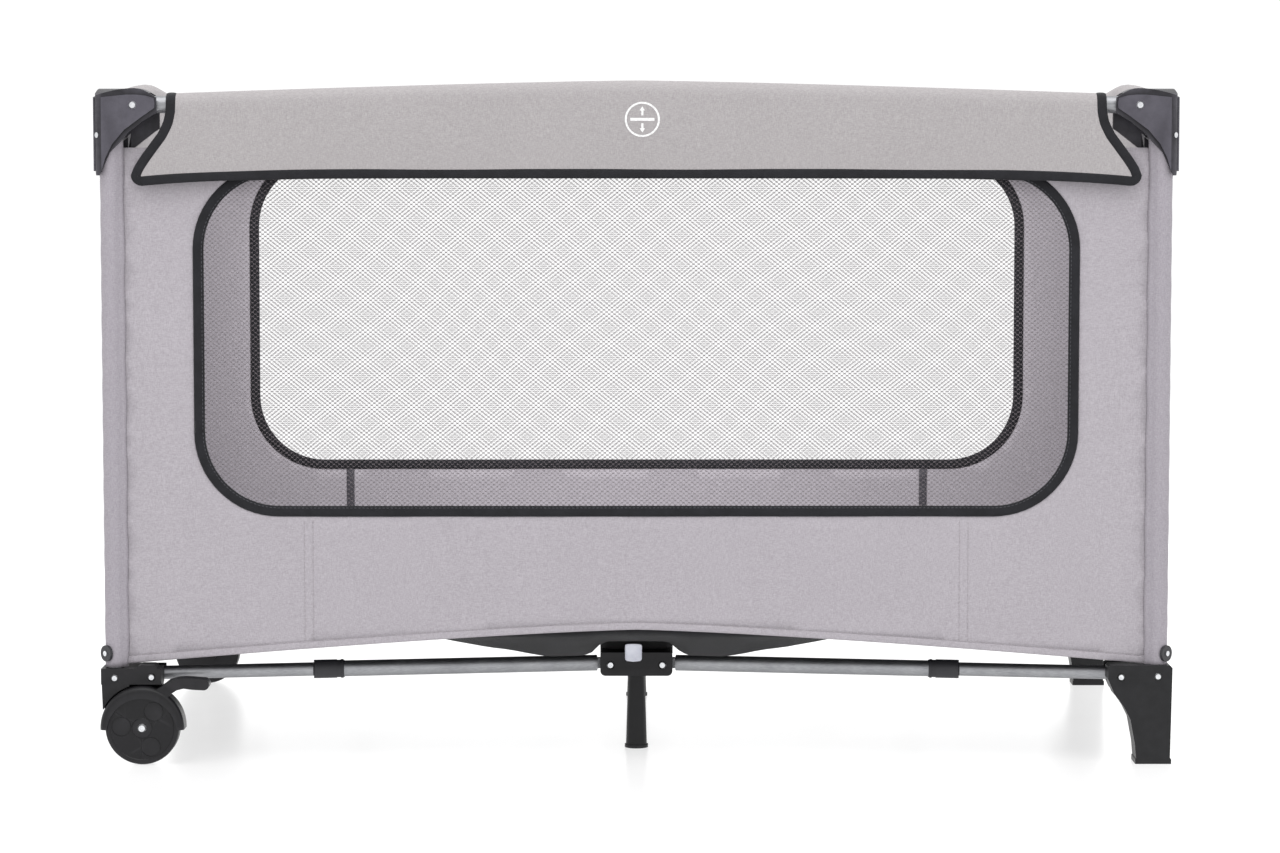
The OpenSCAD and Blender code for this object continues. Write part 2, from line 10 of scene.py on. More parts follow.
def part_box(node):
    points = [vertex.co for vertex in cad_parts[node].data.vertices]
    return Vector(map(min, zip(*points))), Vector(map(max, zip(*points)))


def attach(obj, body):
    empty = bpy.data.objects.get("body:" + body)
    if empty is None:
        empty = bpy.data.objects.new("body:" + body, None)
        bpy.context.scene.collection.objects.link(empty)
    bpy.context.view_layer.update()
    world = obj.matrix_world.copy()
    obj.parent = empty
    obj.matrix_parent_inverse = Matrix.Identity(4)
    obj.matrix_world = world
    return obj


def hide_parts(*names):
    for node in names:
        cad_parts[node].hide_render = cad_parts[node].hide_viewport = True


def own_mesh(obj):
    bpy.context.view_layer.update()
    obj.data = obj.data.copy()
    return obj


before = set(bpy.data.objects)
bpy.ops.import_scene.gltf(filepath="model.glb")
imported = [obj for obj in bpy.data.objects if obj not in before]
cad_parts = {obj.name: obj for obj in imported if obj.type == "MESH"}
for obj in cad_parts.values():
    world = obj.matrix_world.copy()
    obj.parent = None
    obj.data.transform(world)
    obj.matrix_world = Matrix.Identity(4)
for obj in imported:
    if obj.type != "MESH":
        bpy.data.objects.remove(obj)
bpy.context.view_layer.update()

scene = bpy.context.scene
MM = 0.001

# ---------- places and sizes ----------


def centre(node):
    low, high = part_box(node)
    return [(a + b) / 2 for a, b in zip(low, high)]


POST_X = centre("post_front_right")[0]
POST_Y = centre("post_rear_right")[1]
HUB_Y = centre("hub_foot_rear")[1]
FLOOR_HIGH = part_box("floor_fabric")[1]
TOP_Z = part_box("fabric_front")[1][2]

# the hem and the cover's top both arch, from their ends at the posts up to the middle of the side
HEM_MID, HEM_POST = 157 * MM, 117 * MM
COVER_END_Z = 780 * MM
ARCH = 1.3

# the wall: its top, its place inward of the posts, and how much shorter it and its hem are at each end
WALL_TOP, WALL_V = 717.5 * MM, -1 * MM
WALL_SHORT, HEM_SHORT = 13 * MM, 12 * MM

# the window in the wall
WINDOW_LOW, WINDOW_INSET, WINDOW_R = 289 * MM, 95 * MM, 92 * MM
WINDOW_TOP = {"front": 692 * MM, "rear": 704 * MM, "left": 704 * MM, "right": 704 * MM}
NET_PAST = 5 * MM  # how far the netting goes up past the window's top

# the padded cover: half its thickness over the rail, its padding, its rounded top, its lower edge,
# the drop of that edge at its ends, and the distance from each post to its top end
COVER_OUT, COVER_PAD, COVER_ROUND = 16.3 * MM, 2.6 * MM, 14 * MM
COVER_LOW, COVER_DROP, COVER_SHORT = 683 * MM, 8.6 * MM, 68 * MM
DROP_POWER = 6.5  # the lower edge is nearly straight, and drops close to its ends
COVER_STEPS, COVER_ROWS = 72, 42  # along the cover, and across it from one lower edge to the other
FLAT_SHARE, ROW_POWER = 0.4, 1.5  # the part of the section that is one flat layer, and its rows' spacing
# how far the cover's front layer reaches past its top end, against the drop below the top, in mm
FLARE = [(0, 0), (21, 0.3), (33, 3), (46, 9.5), (59, 19.3), (74, 30.4), (85, 37.5), (95, 41.5), (120, 43)]

# the sleeves round the posts
SLEEVE_R, SLEEVE_LOW, SLEEVE_TOP = 10.9 * MM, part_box("fabric_front")[0][2], 732 * MM

# each side: the leg and post that carry it, its length, and how it gathers as the frame folds
LONG = dict(span=2 * POST_X, axis=(1, 0, 0), keep=0.2, seam=227 * MM)
SHORT = dict(span=2 * POST_Y, axis=(0, 1, 0), keep=0.31, seam=170 * MM)
SIDES = {
    "front": dict(LONG, body="leg_front_left", post="post_front_left", anchor=(-POST_X, -POST_Y, 0)),
    "rear": dict(LONG, body="leg_rear_right", post="post_rear_right", anchor=(POST_X, POST_Y, 0)),
    "right": dict(SHORT, body="leg_front_right", post="post_front_right", anchor=(POST_X, -POST_Y, 0)),
    "left": dict(SHORT, body="leg_rear_left", post="post_rear_left", anchor=(-POST_X, POST_Y, 0)),
}


def place(side, s, v, z):
    """A point on a side: s along it, v inward from the posts' plane, z up."""
    return {
        "front": (s, -POST_Y + v, z),
        "right": (POST_X - v, s, z),
        "rear": (-s, POST_Y - v, z),
        "left": (-POST_X + v, -s, z),
    }[side]


def direction(side, s, v, z):
    """A direction on a side, as a vector."""
    return Vector(b - a for a, b in zip(place(side, 0, 0, 0), place(side, s, v, z)))


def hem_height(s, half):
    return HEM_MID - (HEM_MID - HEM_POST) * min(1, abs(s) / half) ** ARCH


def crown(s, half):
    return COVER_END_Z + (TOP_Z - COVER_END_Z) * (1 - min(1, abs(s) / half) ** ARCH)


def cover_low(share):
    return COVER_LOW - COVER_DROP * min(1, abs(share)) ** DROP_POWER


def table(pairs, x):
    """Straight-line reading of a small table of (x, y) pairs."""
    for (x0, y0), (x1, y1) in zip(pairs, pairs[1:]):
        if x <= x1:
            return y0 + (y1 - y0) * max(0, x - x0) / (x1 - x0)
    return pairs[-1][1]


# ---------- materials ----------


class Nodes:
    """A small helper that adds and links shader nodes."""

    def __init__(self, name):
        self.mat = bpy.data.materials.new(name)
        self.mat.use_nodes = True
        self.tree = self.mat.node_tree
        self.bsdf = self.tree.nodes["Principled BSDF"]
        self.coords = self.tree.nodes.new("ShaderNodeTexCoord").outputs["Object"]

    def add(self, kind, values=None, links=None, **settings):
        node = self.tree.nodes.new("ShaderNode" + kind)
        for key, value in settings.items():
            setattr(node, key, value)
        for key, value in (values or {}).items():
            node.inputs[key].default_value = value
        for key, source in (links or {}).items():
            self.tree.links.new(source, node.inputs[key])
        return node

    def math(self, operation, *values, clamp=False):
        node = self.add("Math", operation=operation, use_clamp=clamp)
        for socket, value in zip(node.inputs, values):
            if isinstance(value, (int, float)):
                socket.default_value = value
            else:
                self.tree.links.new(value, socket)
        return node.outputs[0]

    def plus(self, a, b):
        return self.math("ADD", a, b)

    def minus(self, a, b):
        return self.math("SUBTRACT", a, b)

    def times(self, a, b, clamp=False):
        return self.math("MULTIPLY", a, b, clamp=clamp)

    def linear(self, value, scale, start):
        return self.plus(self.times(value, scale), start)

    def between(self, value, low, high):
        """1 where the value lies between two limits, 0 elsewhere."""
        return self.times(self.math("GREATER_THAN", value, low), self.math("LESS_THAN", value, high))

    def wave(self, value, pitch):
        return self.math("SINE", self.times(value, 2 * math.pi / pitch))

    def xyz(self):
        return self.add("SeparateXYZ", links={"Vector": self.coords}).outputs

    def scaled(self, x, y, z):
        return self.add("Mapping", {"Scale": (x, y, z)}, {"Vector": self.coords}).outputs[0]

    def noise(self, scale, detail=3, vector=None):
        values = {"Scale": scale, "Detail": detail, "Roughness": 0.55}
        return self.add("TexNoise", values, {"Vector": vector or self.coords}).outputs["Fac"]

    def ramp(self, factor, low, dark, high, light, middle=None):
        """Colour from dark at low to light at high, through a colour half-way where one is given."""
        node = self.add("ValToRGB", links={"Fac": factor})
        ramp = node.color_ramp
        stops = [(low, dark), (high, light)]
        if middle:
            ramp.elements.new(0.5)
            stops.insert(1, (0.5, middle))
        for element, (at, colour) in zip(ramp.elements, stops):
            element.position = at
            element.color = (*colour, 1)
        return node.outputs["Color"]

    def mix(self, factor, a, b):
        node = self.add("Mix", data_type="RGBA")
        for index, value in ((0, factor), (6, a), (7, b)):
            if isinstance(value, tuple):
                node.inputs[index].default_value = (*value, 1)
            else:
                self.tree.links.new(value, node.inputs[index])
        return node.outputs[2]

    def feed(self, name, socket):
        self.tree.links.new(socket, self.bsdf.inputs[name])

    def bump(self, height, distance, strength):
        node = self.add("Bump", {"Distance": distance, "Strength": strength}, {"Height": height})
        self.feed("Normal", node.outputs[0])

    def set(self, **values):
        for key, value in values.items():
            self.bsdf.inputs[key.replace("_", " ")].default_value = value
        return self.mat


def srgb(*rgb):
    """Linear colour from sRGB values of 0 to 255."""
    shares = [c / 255 for c in rgb]
    return tuple(c / 12.92 if c <= 0.04045 else ((c + 0.055) / 1.055) ** 2.4 for c in shares)


def melange(name, dark, mid, light):
    """Heathered plain-weave cloth: mottled yarns both ways, with a fine weave bump."""
    n = Nodes(name)
    across = n.noise(1.0, 3, n.scaled(260, 260, 1700))
    down = n.noise(1.0, 3, n.scaled(1700, 1700, 260))
    yarn = n.times(n.plus(across, down), 0.5)
    patches = n.times(n.minus(n.noise(9), 0.5), 0.05)
    n.feed("Base Color", n.ramp(n.plus(yarn, patches), 0.34, dark, 0.66, light, middle=mid))
    n.feed("Roughness", n.linear(yarn, 0.2, 0.78))
    n.bump(n.plus(yarn, n.times(n.noise(1500, 2), 0.35)), 0.3 * MM, 0.4)
    return n.set(Sheen_Weight=0.12, Sheen_Roughness=0.45, Specular_IOR_Level=0.2)


def tape(name, dark, light):
    """Ribbed binding or webbing tape: UV runs along it in metres, then across."""
    n = Nodes(name)
    uv = n.add("UVMap", uv_map="along").outputs[0]
    along, across, _ = n.add("SeparateXYZ", links={"Vector": uv}).outputs
    ribs = n.wave(n.plus(along, n.times(across, 0.7)), 1.6 * MM)
    rows = n.wave(across, 1.1 * MM)
    height = n.plus(n.times(ribs, 0.5), n.times(rows, 0.35))
    n.feed("Base Color", n.ramp(n.plus(n.times(height, 0.22), n.noise(60, 5)), 0.25, dark, 0.75, light))
    n.feed("Roughness", n.linear(n.noise(300, 2), 0.2, 0.62))
    n.bump(height, 0.3 * MM, 0.7)
    return n.set(Sheen_Weight=0.15, Sheen_Roughness=0.4, Specular_IOR_Level=0.3)


def netting(name):
    """Warp-knit netting: staggered round holes, cut out by alpha."""
    n = Nodes(name)
    wide, high = 6.5 * MM, 5.3 * MM  # between holes, along and up
    hole, soft, cover = 1.9 * MM, 0.2 * MM, 0.68  # a hole's radius and edge, and how much the thread hides
    x, y, z = n.xyz()

    def from_middle(value, pitch, shift):
        """Distance from the middle of a cell; 500 more cells keep the value above zero."""
        cell = n.math("FRACT", n.plus(n.math("DIVIDE", value, pitch), 500 + shift))
        return n.times(n.minus(cell, 0.5), pitch)

    def from_hole(shift):
        du, dz = from_middle(n.plus(x, y), wide, shift), from_middle(z, high, shift)
        return n.math("SQRT", n.plus(n.times(du, du), n.times(dz, dz)))

    nearest = n.math("MINIMUM", from_hole(0), from_hole(0.5))
    thread = n.math("DIVIDE", n.minus(nearest, hole), soft, clamp=True)
    n.feed("Alpha", n.times(thread, cover))
    n.feed("Base Color", n.ramp(n.noise(700), 0.35, srgb(80, 74, 78), 0.65, srgb(112, 104, 108)))
    n.feed("Roughness", n.linear(n.noise(250, 2), 0.2, 0.6))
    n.bump(nearest, 0.4 * MM, 0.6)
    n.mat.blend_method = "HASHED"
    return n.set(Specular_IOR_Level=0.3, Sheen_Weight=0.1)


def plastic(name, dark, light, rough, painted_shade=None):
    """Moulded plastic: fine spark grain, faint flow tone and lighter, worn edges.

    The last argument adds a second colour, painted as shade: a function for where it lies, and the colour."""
    n = Nodes(name)
    pointed = n.add("NewGeometry").outputs["Pointiness"]
    edge = n.times(n.minus(pointed, 0.515), 14, clamp=True)
    wear = n.times(edge, n.noise(90, 4), clamp=True)
    tone = n.plus(n.times(n.noise(22, 5), 0.7), n.times(n.noise(260), 0.3))
    body = n.ramp(tone, 0.3, dark, 0.7, light)
    # painted shade: a darker second colour laid where the given function marks
    if painted_shade:
        where, other = painted_shade
        body = n.mix(where(n), body, n.ramp(tone, 0.3, other, 0.7, tuple(1.25 * c for c in other)))
    worn = tuple(min(1, 2.2 * c + 0.02) for c in light)
    n.feed("Base Color", n.mix(n.times(wear, 0.45), body, worn))
    n.feed("Roughness", n.linear(n.noise(45, 4), 0.16, rough - 0.08))
    n.bump(n.noise(1500, 2), 0.06 * MM, 0.8)
    return n.set(Specular_IOR_Level=0.3)


def steel(name, dark, light, collar=None):
    """Satin tube: fine draw lines and faint smudges; collar gives the two distances from the middle of the
    frame between which a black plastic collar joins two tubes."""
    n = Nodes(name)
    lines = n.noise(1.0, 3, n.scaled(60, 900, 900))
    tone = n.plus(n.times(lines, 0.6), n.times(n.noise(30, 4), 0.4))
    colour = n.ramp(tone, 0.35, dark, 0.65, light)
    gloss = n.linear(n.noise(70, 4), 0.18, 0.36)
    n.set(Metallic=1.0)
    if collar:
        inside = n.between(n.math("ABSOLUTE", n.xyz()[0]), *collar)
        colour = n.mix(inside, colour, srgb(44, 44, 48))
        gloss = n.plus(n.times(inside, 0.12), gloss)
        n.feed("Metallic", n.minus(1.0, inside))
    n.feed("Base Color", colour)
    n.feed("Roughness", gloss)
    n.bump(lines, 0.04 * MM, 0.6)
    return n.mat


def from_corner(n):
    """Distances inward from the nearest post's centre line along X and along Y, and the height."""
    x, y, z = n.xyz()
    return n.minus(POST_X, n.math("ABSOLUTE", x)), n.minus(POST_Y, n.math("ABSOLUTE", y)), z


def housing_shade_mask(n):
    """The housing's parts painted darker as shade, its rim and liner: all but the two raised outer panels."""
    panels = -16.4 * MM
    u, v, _ = from_corner(n)
    return n.math("GREATER_THAN", n.math("MINIMUM", u, v), panels)


def fasteners(name, dark, light):
    """Zinc-plated bolts and screws, with the black plastic caps at the posts' lower ends."""
    n = Nodes(name)
    u, v, z = from_corner(n)
    outward = n.times(n.plus(u, v), -0.7071)
    cap = n.between(z, 118 * MM, 140 * MM)
    cap = n.times(cap, n.math("LESS_THAN", outward, 14.66 * MM))
    n.feed("Base Color", n.mix(cap, n.ramp(n.noise(240, 4), 0.35, dark, 0.65, light), srgb(40, 40, 44)))
    n.feed("Metallic", n.minus(1.0, cap))
    n.feed("Roughness", n.plus(n.times(n.noise(300), 0.2), n.linear(cap, 0.15, 0.2)))
    n.bump(n.noise(1400, 2), 0.04 * MM, 0.6)
    return n.mat


def mat_cloth(name):
    """The mattress's cover: a fine twill. Its diamond stitching is in the mesh."""
    n = Nodes(name)
    x, y, _ = n.xyz()
    twill = n.wave(n.plus(x, y), 2.4 * MM)
    tone = n.plus(n.noise(420), n.times(twill, 0.06))
    n.feed("Base Color", n.ramp(tone, 0.35, srgb(104, 103, 108), 0.66, srgb(139, 138, 143)))
    n.feed("Roughness", n.linear(n.noise(90), 0.15, 0.78))
    n.bump(n.plus(n.times(twill, 0.4), n.noise(700, 2)), 0.3 * MM, 0.5)
    return n.set(Sheen_Weight=0.15, Sheen_Roughness=0.5, Specular_IOR_Level=0.2)


def plain_cloth(name, dark, light):
    """Tight plain-weave polyester."""
    n = Nodes(name)
    x, y, _ = n.xyz()
    weave = n.times(n.wave(x, 1.3 * MM), n.wave(y, 1.3 * MM))
    n.feed("Base Color", n.ramp(n.plus(n.noise(35, 4), n.times(weave, 0.1)), 0.3, dark, 0.7, light))
    n.feed("Roughness", n.linear(n.noise(120), 0.15, 0.7))
    n.bump(weave, 0.3 * MM, 0.6)
    return n.set(Sheen_Weight=0.1, Specular_IOR_Level=0.25)


def print_ink(name):
    """Rubbery screen print, a little worn."""
    n = Nodes(name)
    n.feed("Base Color", n.ramp(n.noise(500, 4), 0.3, srgb(212, 211, 212), 0.6, srgb(238, 238, 238)))
    n.feed("Roughness", n.linear(n.noise(200), 0.2, 0.45))
    n.bump(n.noise(900, 2), 0.1 * MM, 0.5)
    return n.set(Specular_IOR_Level=0.35)


def thread(name, dark, light):
    """Twisted sewing thread."""
    n = Nodes(name)
    n.feed("Base Color", n.ramp(n.noise(1800, 2), 0.3, dark, 0.7, light))
    n.bump(n.noise(3000, 2), 0.1 * MM, 0.6)
    return n.set(Roughness=0.6, Sheen_Weight=0.1)


def floor_finish(name):
    """The pale studio floor, which glows a little so that it meets the white of the world."""
    n = Nodes(name)
    n.feed("Base Color", n.ramp(n.noise(3), 0.3, (0.36, 0.36, 0.36), 0.7, (0.4, 0.4, 0.4)))
    n.feed("Roughness", n.linear(n.noise(6), 0.06, 0.2))
    return n.set(Specular_IOR_Level=0.35, Emission_Color=(1, 1, 1, 1), Emission_Strength=0.66)


WALL = melange("wall_melange", srgb(152, 147, 152), srgb(167, 162, 168), srgb(182, 177, 183))
# painted shade: the walls' cloth, painted darker on the sleeves round the posts
SHADED_SLEEVE_CLOTH = melange("sleeve_shaded_melange", srgb(143, 138, 145), srgb(157, 152, 159), srgb(171, 166, 173))
COVER = melange("cover_melange", srgb(147, 143, 144), srgb(162, 158, 159), srgb(177, 173, 174))
BINDING = tape("binding_tape", srgb(18, 18, 22), srgb(31, 31, 36))
WEBBING = tape("webbing_tape", srgb(206, 208, 222), srgb(236, 238, 246))
DARK_STRAP = tape("strap_tape", srgb(54, 52, 58), srgb(78, 76, 82))
NETTING = netting("window_netting")
THREAD = thread("grey_thread", srgb(140, 135, 140), srgb(178, 172, 176))
DARK_THREAD = thread("dark_thread", srgb(44, 44, 50), srgb(76, 76, 82))
MAT_CLOTH = mat_cloth("mat_cover")
FLOOR_CLOTH = plain_cloth("floor_weave", srgb(14, 14, 17), srgb(28, 28, 32))
INK = print_ink("print")
# painted shade: the housing's rim and liner are painted darker than its two raised panels
HOUSING_SHADE = (housing_shade_mask, srgb(28, 27, 31))
HOUSING = plastic("housing_plastic", srgb(58, 56, 63), srgb(72, 70, 78), 0.42, painted_shade=HOUSING_SHADE)
BRACKET = plastic("bracket_plastic", srgb(9, 9, 11), srgb(19, 18, 21), 0.5)
WHEEL = plastic("wheel_plastic", srgb(12, 12, 14), srgb(23, 22, 26), 0.36)
FOOT = plastic("foot_plastic", srgb(7, 7, 9), srgb(15, 15, 18), 0.42)
LATCH = plastic("latch_plastic", srgb(26, 26, 29), srgb(40, 40, 44), 0.5)
BUTTON = plastic("button_plastic", srgb(120, 40, 38), srgb(150, 52, 48), 0.4)
SATIN = ((0.28, 0.285, 0.3), (0.4, 0.405, 0.42))
TUBE = steel("tube_steel", *SATIN)
BOLT = fasteners("bolt_steel", (0.6, 0.61, 0.63), (0.76, 0.77, 0.79))

# ---------- mesh helpers ----------


def new_object(name, verts, faces, material, smooth=True, uvs=None):
    mesh = bpy.data.meshes.new(name)
    mesh.from_pydata([tuple(v) for v in verts], [], faces)
    if uvs:
        layer = mesh.uv_layers.new(name="along")
        for loop in mesh.loops:
            layer.data[loop.index].uv = uvs[loop.vertex_index]
    mesh.materials.append(material)
    mesh.polygons.foreach_set("use_smooth", [smooth] * len(mesh.polygons))
    mesh.validate()
    mesh.update()
    obj = bpy.data.objects.new(name, mesh)
    scene.collection.objects.link(obj)
    return obj


def thicken(obj, thickness, offset=0.0):
    mod = obj.modifiers.new("thickness", "SOLIDIFY")
    mod.thickness = thickness
    mod.offset = offset
    mod.use_even_offset = True


def grid_faces(nu, nv):
    """The faces of a grid of nu by nv points, numbered row by row."""
    corners = ((i * nv + j, (i + 1) * nv + j) for i in range(nu - 1) for j in range(nv - 1))
    return [(a, b, b + 1, a + 1) for a, b in corners]


def grid_rim(nu, nv):
    """The (i, j) places round the edge of such a grid."""
    rim = [(i, 0) for i in range(nu - 1)] + [(nu - 1, j) for j in range(nv - 1)]
    return rim + [(i, nv - 1) for i in range(nu - 1, 0, -1)] + [(0, j) for j in range(nv - 1, 0, -1)]


def shell(name, nu, nv, point, material):
    """A closed piece from two facing grids, joined round their edge: point(i, j, back) gives each point."""
    verts = [point(i, j, back) for back in (False, True) for i in range(nu) for j in range(nv)]
    layer = nu * nv
    faces = []
    for face in grid_faces(nu, nv):
        faces += [face, tuple(layer + k for k in reversed(face))]
    ids = [i * nv + j for i, j in grid_rim(nu, nv)]
    faces += [(b, a, layer + a, layer + b) for a, b in zip(ids, ids[1:] + ids[:1])]
    return new_object(name, verts, faces, material)


def is_inside(p, loop):
    """Whether a point lies inside a closed outline."""
    hit = False
    for (x0, y0), (x1, y1) in zip(loop, loop[1:] + loop[:1]):
        if (y0 > p[1]) != (y1 > p[1]) and p[0] < (x1 - x0) * (p[1] - y0) / (y1 - y0) + x0:
            hit = not hit
    return hit


def outline_fill(outer, holes, step):
    """Triangles that fill a flat outline with holes, with points about step apart inside."""
    points, edges = [], []
    for loop in [outer, *holes]:
        start = len(points)
        points += [Vector(p) for p in loop]
        edges += [(start + i, start + (i + 1) % len(loop)) for i in range(len(loop))]
    near = step * 0.55
    cells = {}
    for p in points:
        cells.setdefault((int(p.x // near), int(p.y // near)), []).append(p)

    def by_the_edge(p):
        cx, cy = int(p.x // near), int(p.y // near)
        around = ((cx + i, cy + j) for i in (-1, 0, 1) for j in (-1, 0, 1))
        return any((q - p).length < near for cell in around for q in cells.get(cell, ()))

    xs, ys = [p[0] for p in outer], [p[1] for p in outer]
    row = step * 0.87
    for r in range(1, int((max(ys) - min(ys)) / row) + 1):
        y = min(ys) + r * row
        x = min(xs) + step * (0.5 if r % 2 else 0)
        while x < max(xs):
            p = Vector((x, y))
            if is_inside(p, outer) and not any(is_inside(p, h) for h in holes) and not by_the_edge(p):
                points.append(p)
            x += step
    verts, _, faces, *_ = delaunay_2d_cdt(points, edges, [], 1, 1e-7)

    def in_hole(face):
        middle = sum((verts[i] for i in face), Vector((0, 0))) / len(face)
        return any(is_inside(middle, h) for h in holes)

    return verts, [face for face in faces if not in_hole(face)]


def spaced(path, step, closed=False):
    """The same path with points added so that none are more than step apart."""
    out = []
    for a, b in zip(path, path[1:] + (path[:1] if closed else [])):
        a, b = Vector(a), Vector(b)
        n = max(1, math.ceil((b - a).length / step))
        out += [tuple(a.lerp(b, i / n)) for i in range(n)]
    return out if closed else out + [tuple(path[-1])]


def rounded_window(half, low, high, r, n=12):
    """A rectangle with round corners of n steps, counter-clockwise from the lower left."""
    angles = [math.pi + math.pi / 2 * i / n for i in range(n + 1)]
    low_left = [(-half + r + r * math.cos(a), low + r + r * math.sin(a)) for a in angles]
    low_right = [(-x, z) for x, z in reversed(low_left)]
    top = [(x, low + high - z) for x, z in reversed(low_left + low_right)]
    return spaced(low_left + low_right + top, 14 * MM, True)


def strip(name, path, across, width, thick, material, closed=False, crown_up=0.35):
    """A flat sewn tape along a 3-D path: across(i) is the direction over its width at each point."""
    pts = [Vector(p) for p in path]
    n = len(pts)
    shares = [-1 + 2 * i / 5 for i in range(6)]
    upper = [(t * width / 2, thick / 2 * (1 - crown_up * abs(t) ** 3)) for t in shares]
    ring = upper + [(x, -z) for x, z in reversed(upper)]
    verts, uvs, along = [], [], 0.0
    for i, p in enumerate(pts):
        if closed:
            tangent = pts[(i + 1) % n] - pts[i - 1]
        else:
            tangent = pts[min(i + 1, n - 1)] - pts[max(i - 1, 0)]
        tangent.normalize()
        side = Vector(across(i))
        side = (side - tangent * side.dot(tangent)).normalized()
        normal = tangent.cross(side)
        if i:
            along += (p - pts[i - 1]).length
        verts += [p + side * x + normal * z for x, z in ring]
        uvs += [(along, x) for x, _ in ring]
    m = len(ring)
    faces = []
    for i in range(n if closed else n - 1):
        this, following = i * m, (i + 1) % n * m
        for j in range(m):
            k = (j + 1) % m
            faces.append((this + j, following + j, following + k, this + k))
    if not closed:
        faces.append(tuple(range(m)))
        faces.append(tuple((n - 1) * m + j for j in reversed(range(m))))
    return new_object(name, verts, faces, material, uvs=uvs)


def point_along(pts, distance):
    """The point at a distance along a path."""
    for a, b in zip(pts, pts[1:]):
        step = (b - a).length
        if distance <= step or b is pts[-1]:
            return a.lerp(b, min(1, distance / max(step, 1e-9)))
        distance -= step


STITCH, STITCH_GAP, STITCH_R = 3.2 * MM, 1.5 * MM, 0.42 * MM
STITCH_TAPER = ((0, 0.35), (0.3, 1), (0.7, 1), (1, 0.35))
STITCH_SECTION = ((-1, -0.2), (-0.7, 0.7), (0.7, 0.7), (1, -0.2))


def stitches(name, paths, outward, material):
    """Rows of raised stitches along 3-D paths, as one piece."""
    verts, faces = [], []
    for path in paths:
        pts = [Vector(p) for p in path]
        total = sum((b - a).length for a, b in zip(pts, pts[1:]))
        pitch = STITCH + STITCH_GAP
        for k in range(int(total / pitch)):
            a, b = point_along(pts, k * pitch), point_along(pts, k * pitch + STITCH)
            side = (b - a).normalized().cross(outward)
            base = len(verts)
            for along, grow in STITCH_TAPER:
                r = STITCH_R * grow
                verts += [a.lerp(b, along) + side * x * r + outward * z * r for x, z in STITCH_SECTION]
            for i in range(3):
                for j in range(4):
                    p, q = base + 4 * i + j, base + 4 * i + (j + 1) % 4
                    faces.append((p, q, q + 4, p + 4))
            faces.append((base + 3, base + 2, base + 1, base))
            faces.append((base + 12, base + 13, base + 14, base + 15))
    return new_object(name, verts, faces, material)


def carried(obj, side):
    """The piece goes with its side's leg."""
    info = SIDES[side]
    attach(obj, info["body"])
    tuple(info["axis"])
    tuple(info["anchor"])
    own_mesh(obj)


# ---------- one side's cloth ----------

WALL_PHASE = {"front": 0.0, "rear": 2.1, "left": 4.2, "right": 5.5}
NET_PHASE = {"front": 0.6, "rear": 1.7, "left": 3.2, "right": 5.1}


def wall_push(side, s, z, half):
    """How far the wall's cloth moves inward from flat: tension lines and a slight belly."""
    k = WALL_PHASE[side]
    above_hem = max(0, z - hem_height(s, half))
    free = max(0, min(1, (half - abs(s)) / (50 * MM)) * min(1, above_hem / (30 * MM)))  # 0 along the edges
    low = math.exp(-max(0, z - 160 * MM) / (100 * MM))
    waves = (1.5 * math.sin(s * 26 + k) + math.sin(s * 61 + 2 * k + z * 9)) * low
    belly = 1.28 * math.sin(s * 5.3 + k) * math.sin(z * 7 + k)
    by_post = math.exp(-((half - abs(s)) / (90 * MM)) ** 2)
    corner = 1.2 * math.sin((abs(s) * 0.8 + z) * 55 + k) * by_post * low
    return (waves + belly + corner) * free * MM


def net_push(side, s, z):
    """How far the netting moves inward from flat."""
    k = NET_PHASE[side]
    broad = 2.2 * math.sin(s * 7.5 + k) * math.sin(z * 8.5 + 0.4 * k)
    return (broad + 1.1 * math.sin(s * 19 - z * 13 + k)) * MM


def corner_cut(up, r):
    """How much a rounded lower corner takes off the end, at a height above the lower edge."""
    return r - math.sqrt(max(0, r * r - (r - up) ** 2)) if up < r else 0


def cover_point(half, share, w, inside):
    """A point of a padded cover as (s, v, z). The cover is an upside-down U over the rail.

    share runs along it from -1 to 1, and w across it from 0 at the front layer's lower edge, over the top, to
    1 at the inner layer's. inside gives the lining."""
    pad = COVER_PAD if inside else 0
    r, out = COVER_ROUND - pad, COVER_OUT - pad
    top, low = crown(share * half, half), cover_low(share)
    front = w < 0.5
    inner_past = 3 * MM  # how far the inner layer reaches past the top end
    if FLAT_SHARE <= w <= 1 - FLAT_SHARE:
        a = math.pi * (w - FLAT_SHARE) / (1 - 2 * FLAT_SHARE)
        v = -math.cos(a)
        reach = half if front else half + inner_past * min(1, (w - 0.5) / 0.1)
        flat = (out - r) * math.copysign(1, v) * min(1, abs(v) * 3)
        return share * reach, v * r + flat, top - pad - r + r * math.sin(a)
    t = ((w if front else 1 - w) / FLAT_SHARE) ** ROW_POWER
    z = low + (top - COVER_ROUND - low) * t
    if front:
        reach = half + table(FLARE, (top - z) / MM) * MM - corner_cut(z - low, 13 * MM)
    else:
        reach = half + inner_past - corner_cut(z - low, 11 * MM)
    s = share * reach
    puff = 0.9 * MM * (1 - abs(share) ** 8) * math.sin(math.pi * min(1, t * 0.96 + 0.02))
    ripple = 0.55 * MM * math.sin(s * 23 + 2.2 * t) * math.sin(math.pi * t) * (1 - abs(share) ** 6)
    v = out - MM * (1 - t) + puff + ripple
    return s, -v if front else v, z


